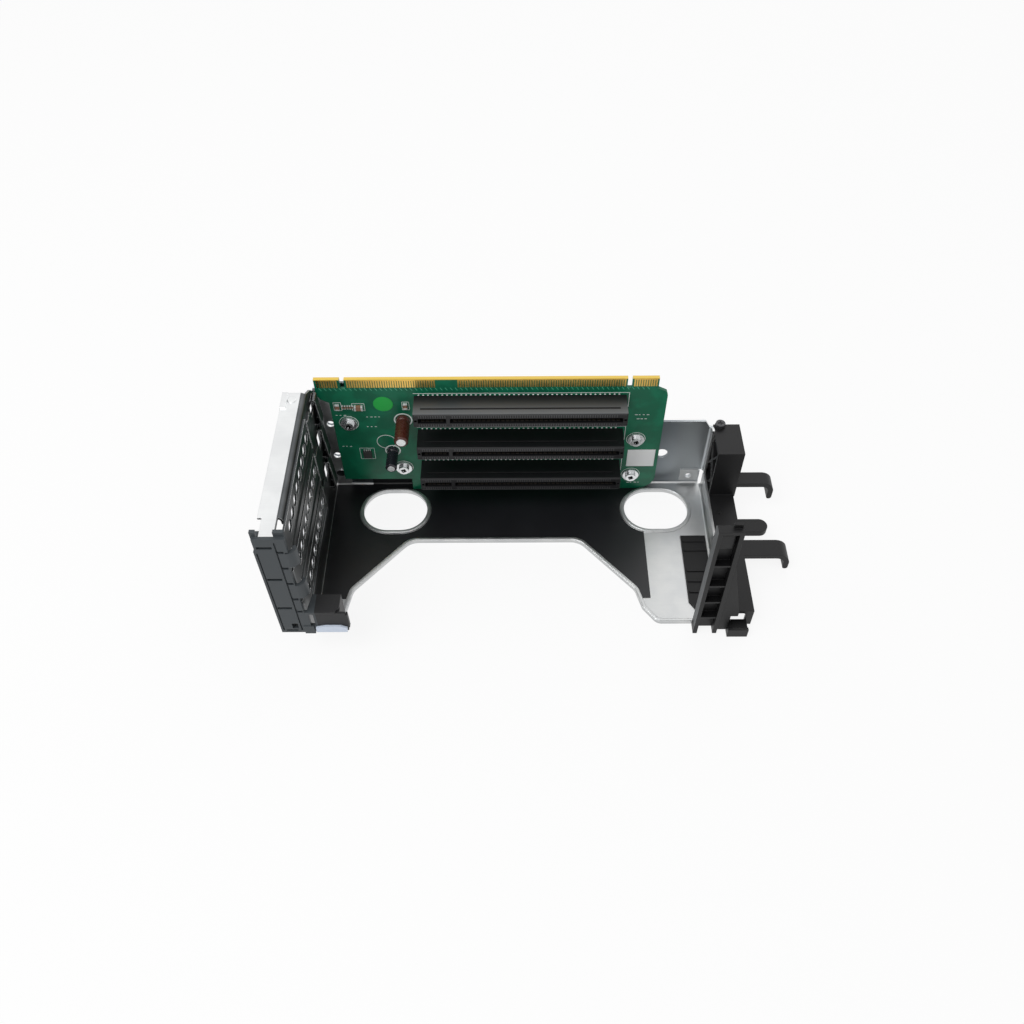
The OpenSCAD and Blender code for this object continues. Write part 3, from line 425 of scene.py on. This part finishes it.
# Painted shade: a dark spot at the middle of each screw head stands for the shade in its hollow.
recess_shade = 0
for screw_x, screw_z in SCREWS:
    away = ((px - screw_x) ** 2 + (pz - screw_z) ** 2) ** 0.5
    recess_shade = (1 - away.steps(0.9, 1.25)) * (py < washer_front) + recess_shade
bright = plated.mixed(swirl, (0.62, 0.63, 0.64, 1), (0.85, 0.86, 0.87, 1))
plated.set(
    Base_Color=plated.mixed(recess_shade, bright, (0.03, 0.032, 0.03, 1)),
    Roughness=swirl * 0.2 + 0.15,
    Normal=plated.bumped(swirl, 0.00002, 0.3, plated.rounded_edges(0.15)),
)
wear(plated, "board_screws", "board_standoffs", "latch_pin")
blackened = moulded("blackened_steel", (0.02, 0.02, 0.022), (0.05, 0.05, 0.055), 0.35, 3000.0)
wear(blackened, "bracket_screw")
chip_body = moulded("chip_body", (0.012, 0.012, 0.012), (0.025, 0.024, 0.022), 0.5, 3000.0)
wear(chip_body, "control_chip")
# Painted shade: the contacts deep in the card slots are painted near black.
contacts_in_shade = moulded("shaded_contacts", (0.010, 0.008, 0.004), (0.02, 0.015, 0.008), 0.5, 3000.0)
wear(contacts_in_shade, "slot_contacts_1", "slot_contacts_2", "slot_contacts_3")

# %% Capacitors, sticker and label
brown_sleeve = moulded("brown_sleeve", (0.050, 0.012, 0.008), (0.085, 0.022, 0.014), 0.28, 900.0)
wear(brown_sleeve, "brown_capacitor")
black_sleeve = moulded("black_sleeve", (0.008, 0.007, 0.012), (0.016, 0.014, 0.022), 0.25, 900.0)
wear(black_sleeve, "black_capacitor")
paper = moulded("white_label", (0.80, 0.81, 0.81), (0.88, 0.89, 0.89), 0.5, 1500.0)
wear(paper, "board_label")
green_paper = moulded("green_sticker", (0.0, 0.34, 0.040), (0.01, 0.45, 0.065), 0.4, 1500.0)
wear(green_paper, "round_sticker")
ceramic = moulded("chip_ceramic", (0.20, 0.10, 0.06), (0.30, 0.17, 0.10), 0.4, 2000.0)
wear(ceramic, "chip_passives")

# %% [markdown]
# The small parts are modelled from here on. Each starts as one primitive at its own size and place,
# gets its edges rounded, and is copied along its row. The copies are joined into one piece, which
# stays at the origin and rides on the cage.

# %% Tools for small parts


def block(low, high, edge):
    """A block between two corners in millimetres, with edges rounded by edge."""
    bpy.ops.object.select_all(action="DESELECT")
    middle = [(a + b) / 2 for a, b in zip(low, high)]
    size = [b - a for a, b in zip(low, high)]
    bpy.ops.mesh.primitive_cube_add(size=1, location=mm(*middle))
    part = bpy.context.object
    part.scale = mm(*size)
    bpy.ops.object.transform_apply(location=True, rotation=True, scale=True)
    modifier = part.modifiers.new("edge", "BEVEL")
    modifier.width = edge * MM
    modifier.segments = 1
    bpy.ops.object.modifier_apply(modifier=modifier.name)
    return part


def printed(low, high):
    """A printed bar on the face of the board, between two corners in X and Z."""
    return block([low[0], -PRINT_T, low[1]], [high[0], PASS, high[1]], 0.01)


def ring(x, z, radius, width, sides=40):
    """A flat printed ring on the face of the board."""
    bpy.ops.object.select_all(action="DESELECT")
    bpy.ops.mesh.primitive_torus_add(
        major_segments=sides,
        minor_segments=6,
        major_radius=radius * MM,
        minor_radius=width * MM,
        location=mm(x, 0, z),
        rotation=(math.radians(90), 0, 0),
    )
    part = bpy.context.object
    part.scale.z = PRINT_T / width
    bpy.ops.object.transform_apply(location=True, rotation=True, scale=True)
    return part


def disc(x, z, front, back, radius, edge, sides=32):
    """A round plate in front of the board, from front to back along Y."""
    bpy.ops.object.select_all(action="DESELECT")
    bpy.ops.mesh.primitive_cylinder_add(
        vertices=sides,
        radius=radius * MM,
        depth=(back - front) * MM,
        location=mm(x, (front + back) / 2, z),
        rotation=(math.radians(90), 0, 0),
    )
    part = bpy.context.object
    bpy.ops.object.transform_apply(location=True, rotation=True, scale=True)
    modifier = part.modifiers.new("edge", "BEVEL")
    modifier.width = edge * MM
    modifier.segments = 2
    modifier.limit_method = "ANGLE"
    bpy.ops.object.modifier_apply(modifier=modifier.name)
    return part


def copied(part, x=0.0, z=0.0):
    """A copy with a mesh of its own, moved along the board and up."""
    twin = part.copy()
    twin.data = part.data.copy()
    bpy.context.scene.collection.objects.link(twin)
    twin.data.transform(Matrix.Translation(mm(x, 0, z)))
    return twin


def piece(name, parts, finish):
    """Joins the parts to one piece that rides on the cage."""
    bpy.ops.object.select_all(action="DESELECT")
    for part in parts:
        part.select_set(True)
    bpy.context.view_layer.objects.active = parts[0]
    if len(parts) > 1:
        bpy.ops.object.join()
    whole = parts[0]
    whole.name = name
    whole.data.materials.clear()
    whole.data.materials.append(finish.material)
    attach(whole, "cage")
    print(name, "has", len(whole.data.polygons), "faces")
    return whole


PRINT_T = 0.04                       # how far print stands out from the board
PASS = 0.02                          # how far a small part reaches into what carries it

# %% [markdown]
# Every card connector has two rows of small walls on its face, one above and one below the card
# slot, with a dark cavity between each two walls for a spring contact.

# %% Walls of the connectors
# Painted light: the walls are part of the black housing but are painted a lighter grey, as if lit.
walls_painted_light = moulded("cavity_walls", (0.030, 0.031, 0.033), (0.048, 0.050, 0.053), 0.4, 4200.0, 0.5, 0.05)
cell_pitch = 1.0
key_from_left = 14.5
key_half = 1.1                       # no wall stands this near the middle of the key
first_at = 2.4                       # from the housing's left end to the first wall
last_at = 3.1                        # from the last wall to the housing's right end
wall_half = 0.2
row_z = (1.75, 3.2)                  # a row's two edges, from the middle of the card slot
sill_z = (3.22, 3.42)
sill_end = 0.6
wall_out = 0.14                      # how far the walls stand out of the housing
sill_out = 0.12
for k in (1, 2, 3):
    low, high = [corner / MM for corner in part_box(f"slot_connector_{k}")]
    slot_mid = (low.z + high.z) / 2
    key = low.x + key_from_left
    first = block(
        [low.x + first_at - wall_half, low.y - wall_out, slot_mid + row_z[0]],
        [low.x + first_at + wall_half, low.y + PASS, slot_mid + row_z[1]],
        0.05,
    )
    walls = [first]
    for i in range(1, int((high.x - low.x - first_at - last_at) / cell_pitch)):
        x = low.x + first_at + i * cell_pitch
        if abs(x - key) > key_half:
            walls.append(copied(first, x=i * cell_pitch))
    lower = [copied(wall, z=-sum(row_z)) for wall in walls]
    sill = block(
        [low.x + sill_end, low.y - sill_out, slot_mid + sill_z[0]],
        [high.x - sill_end, low.y + PASS, slot_mid + sill_z[1]],
        0.04,
    )
    sill_low = copied(sill, z=-sum(sill_z))
    piece(f"cavity_walls_{k}", [*walls, *lower, sill, sill_low], walls_painted_light)

# %% [markdown]
# The connectors' tails come through the board in a row beside each housing, and every tail has its
# own bead of solder. A thin printed line frames the row.

# %% Solder and frame of each connector
solder = Finish("solder_tin", Metallic=0.6)
flow = solder.noise(900.0, 2.0)
solder.set(
    Base_Color=solder.mixed(flow, (0.72, 0.74, 0.74, 1), (0.90, 0.91, 0.91, 1)),
    Roughness=flow * 0.2 + 0.2,
    Normal=solder.bumped(flow, 0.00002, 0.3),
)
print_white = moulded("printed_white", (0.75, 0.80, 0.78), (0.86, 0.88, 0.87), 0.5, 1500.0, 0.3, 0.02)
bead_pitch = 2.0
bead_x = (1.5, 2.3)                  # the first bead, from the housing's left end
bead_z = (0.15, 0.75)                # a bead, from the housing's upper side
bead_out = 0.35
frame_z = (1.15, 1.4)                # the printed line, from the housing's upper side
frame_x = (1.05, 1.3)                # its end, from the housing's right end
frame_drop = 7.2
for k in (1, 2, 3):
    low, high = [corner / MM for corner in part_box(f"slot_connector_{k}")]
    top = high.z
    first = block(
        [low.x + bead_x[0], -bead_out, top + bead_z[0]], [low.x + bead_x[1], PASS, top + bead_z[1]], 0.18
    )
    more = int((high.x - low.x - 2 * bead_x[0]) / bead_pitch)
    beads = [first] + [copied(first, x=(i + 1) * bead_pitch) for i in range(more)]
    piece(f"solder_beads_{k}", beads, solder)
    lines = [
        printed([low.x - 0.4, top + frame_z[0]], [high.x + frame_x[1], top + frame_z[1]]),
        printed([high.x + frame_x[0], top - frame_drop], [high.x + frame_x[1], top + frame_z[0] + 0.05]),
    ]
    piece(f"connector_frame_{k}", lines, print_white)

# %% [markdown]
# Print on the board is generic: frames where parts sit, rings round screws and capacitors, and
# short strokes in place of words.

# %% Printed marks
BROWN_CAN = (-50.4, 47.7)            # places on the board as X and Z
BLACK_CAN = (-56.8, 28.3)
marks = [
    ring(-59, 34, 4.2, 0.16),
    ring(*BROWN_CAN, 3.7, 0.3),
    ring(*BLACK_CAN, 3.2, 0.3),
]
for (screw_x, screw_z), width in zip(SCREWS, (0.12, 0.16, 0.12, 0.12)):
    marks.append(ring(screw_x, screw_z, 4.1, width))
line_w = 0.18
for x, z, w, h in [
    (-79.2, 53.6, 3.4, 4.8),
    (-71.4, 53.4, 5.4, 4.4),
    (-50.2, 53.8, 3.2, 4.8),
    (-71.6, 22.8, 6.6, 7.2),
]:
    marks.append(printed([x, z], [x + w, z + line_w]))
    marks.append(printed([x, z + h - line_w], [x + w, z + h]))
    marks.append(printed([x, z], [x + line_w, z + h]))
    marks.append(printed([x + w - line_w, z], [x + w, z + h]))
draw = random.Random(7)
stroke_pitch = 1.7
stroke_h = 0.3
for x, z, count in [
    (-79, 50.6, 3),
    (-66, 49.5, 4),
    (-79, 31, 3),
    (-66.5, 43.5, 3),
    (49, 50, 4),
    (50, 47.5, 3),
    (49, 5.5, 4),
]:
    for i in range(count):
        start = x + i * stroke_pitch
        marks.append(printed([start, z], [start + draw.uniform(0.6, 1.3), z + stroke_h]))
piece("printed_marks", marks, print_white)

# %% [markdown]
# Under the gold contacts, each lane of copper leaves at a slant. Under the solder mask it shows as
# a short bright stroke.

# %% Slanting lanes
lane_green = moulded("covered_copper", (0.06, 0.36, 0.22), (0.12, 0.46, 0.30), 0.4, 1500.0, 0.3, 0.02)
contact_low, contact_high = [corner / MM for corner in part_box("edge_contacts")]
stroke = printed([contact_low.x + 1, contact_low.z - 1.9], [contact_low.x + 1.3, contact_low.z - 0.2])
bpy.ops.transform.rotate(
    value=math.radians(32),
    orient_axis="Y",
    center_override=mm(contact_low.x + 1.15, 0, contact_low.z - 1),
)
bpy.ops.object.transform_apply(location=True, rotation=True, scale=True)
lane_pitch = 2.1
span = contact_high.x - contact_low.x - 2
strokes = [stroke] + [copied(stroke, x=i * lane_pitch) for i in range(1, int(span / lane_pitch))]
piece("slanting_lanes", strokes, lane_green)

# %% [markdown]
# Each capacitor shows the bare end of its can, the chip parts have tinned ends, and the control
# chip has bright pins.

# %% Ends, caps and pins
brown_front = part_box("brown_capacitor")[0].y / MM
black_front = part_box("black_capacitor")[0].y / MM
end_out = 0.12                       # how far a can's bare end stands out of its sleeve
end_in = 0.4
brown_end = disc(*BROWN_CAN, brown_front - end_out, brown_front + end_in, 2.0, 0.1)
piece("brown_can_end", [brown_end], solder)
black_end = disc(*BLACK_CAN, black_front - end_out, black_front + end_in, 1.6, 0.1)
piece("black_can_end", [black_end], solder)
TIN_T = 0.04                         # how far the tin stands out round a chip part


def tinned_ends(x, z, width, depth, height, length, edge, tin=TIN_T):
    """Tin caps on the upper and the lower end of a chip part."""
    caps = []
    for side in (-1, 1):
        tip = z + side * height / 2
        low_z, high_z = sorted((tip + side * tin, tip - side * length))
        low = [x - width / 2 - tin, -depth - tin, low_z]
        caps.append(block(low, [x + width / 2 + tin, PASS, high_z], edge))
    return caps


tinned = tinned_ends(-77.6, 55.9, 1.7, 0.9, 3.2, 0.7, 0.06)
tinned += tinned_ends(-48.7, 56.4, 1.7, 0.9, 3.0, 0.7, 0.06)
wide_x, wide_half = -68.6, 1.8       # this part lies on its side
for side in (-1, 1):
    tip = wide_x + side * wide_half
    low_x, high_x = sorted((tip + side * TIN_T, tip - side * 0.8))
    tinned.append(block([low_x, -1.2 - TIN_T, 54.4 - TIN_T], [high_x, PASS, 56.8 + TIN_T], 0.06))
resistor_pitch = 1.05
for i in range(5):
    tinned += tinned_ends(-75.4 + i * resistor_pitch, 55.7, 0.6, 0.45, 2.0, 0.4, 0.04, tin=0.03)
piece("tinned_ends", tinned, solder)
CHIP = (-68.2, 26.4)
pin_pitch = 0.85
pin_from_mid = 2.45
pin_half = (0.2, 0.43)
pin_out = 0.63
pins = []
for i in range(4):
    x = CHIP[0] + (i - 1.5) * pin_pitch
    for side in (-1, 1):
        z = CHIP[1] + side * pin_from_mid
        low = [x - pin_half[0], -pin_out, z - pin_half[1]]
        pins.append(block(low, [x + pin_half[0], PASS, z + pin_half[1]], 0.05))
piece("chip_pins", pins, solder)

# %% [markdown]
# The studio is a white table and a white room. Lamps stay at a plain level: the white behind the
# object comes from what camera rays and mirror rays see, not from more light on the object.

# %% Room
world = bpy.data.worlds.new("studio_room")
world.use_nodes = True
bpy.context.scene.world = world
room = world.node_tree
room.nodes.clear()
path = room.nodes.new("ShaderNodeLightPath")
seen = room.nodes.new("ShaderNodeMath")
seen.operation = "MAXIMUM"
room.links.new(path.outputs["Is Camera Ray"], seen.inputs[0])
room.links.new(path.outputs["Is Transmission Ray"], seen.inputs[1])
level = room.nodes.new("ShaderNodeMapRange")
level.inputs["To Min"].default_value = 0.55
level.inputs["To Max"].default_value = 1.0
mirror = room.nodes.new("ShaderNodeMath")
mirror.operation = "MAXIMUM"
room.links.new(seen.outputs[0], mirror.inputs[0])
room.links.new(path.outputs["Is Glossy Ray"], mirror.inputs[1])
room.links.new(mirror.outputs[0], level.inputs["Value"])
air = room.nodes.new("ShaderNodeBackground")
air.inputs["Color"].default_value = (1, 1, 1, 1)
room.links.new(level.outputs["Result"], air.inputs["Strength"])
room_out = room.nodes.new("ShaderNodeOutputWorld")
room.links.new(air.outputs["Background"], room_out.inputs["Surface"])

# %% Lamps


def softbox(name, at, target, width, height, power):
    lamp = bpy.data.lights.new(name, "AREA")
    lamp.shape = "RECTANGLE"
    lamp.size = width
    lamp.size_y = height
    lamp.energy = power
    stand = bpy.data.objects.new(name, lamp)
    bpy.context.scene.collection.objects.link(stand)
    stand.location = at
    stand.rotation_euler = (Vector(target) - Vector(at)).to_track_quat("-Z", "Y").to_euler()


softbox("key_softbox", (-0.5, -0.35, 1.0), (0, -0.03, 0.03), width=0.7, height=0.7, power=6.5)
softbox("back_softbox", (0.35, 0.9, 0.9), (0, 0, 0.03), width=0.9, height=0.6, power=1.5)

# %% Table
bpy.ops.mesh.primitive_plane_add(size=6, location=(0, 0, cad_box[0][2] - 0.0002))
table = bpy.context.object
table.name = "studio_table"
table_finish = Finish("table_white", Roughness=0.6)
table_finish.set(Base_Color=(0.85, 0.85, 0.85, 1))
glow = table_finish.add("ShaderNodeEmission", {}, {"Color": (1, 1, 1, 1), "Strength": 1.0})
rays = table_finish.add("ShaderNodeLightPath", {}, {})
seen_rays = table_finish.out(rays, "Is Camera Ray").math("MAXIMUM", table_finish.out(rays, "Is Glossy Ray"))
blend = table_finish.add(
    "ShaderNodeMixShader",
    {},
    {
        0: seen_rays * 0.88,
        1: Wire(table_finish, table_finish.shader.outputs["BSDF"]),
        2: Wire(table_finish, glow.outputs[0]),
    },
)
table_finish.feed(table_finish.output, {"Surface": Wire(table_finish, blend.outputs[0])})
table.data.materials.append(table_finish.material)

# %% Finish
bpy.context.scene.view_settings.view_transform = "Standard"
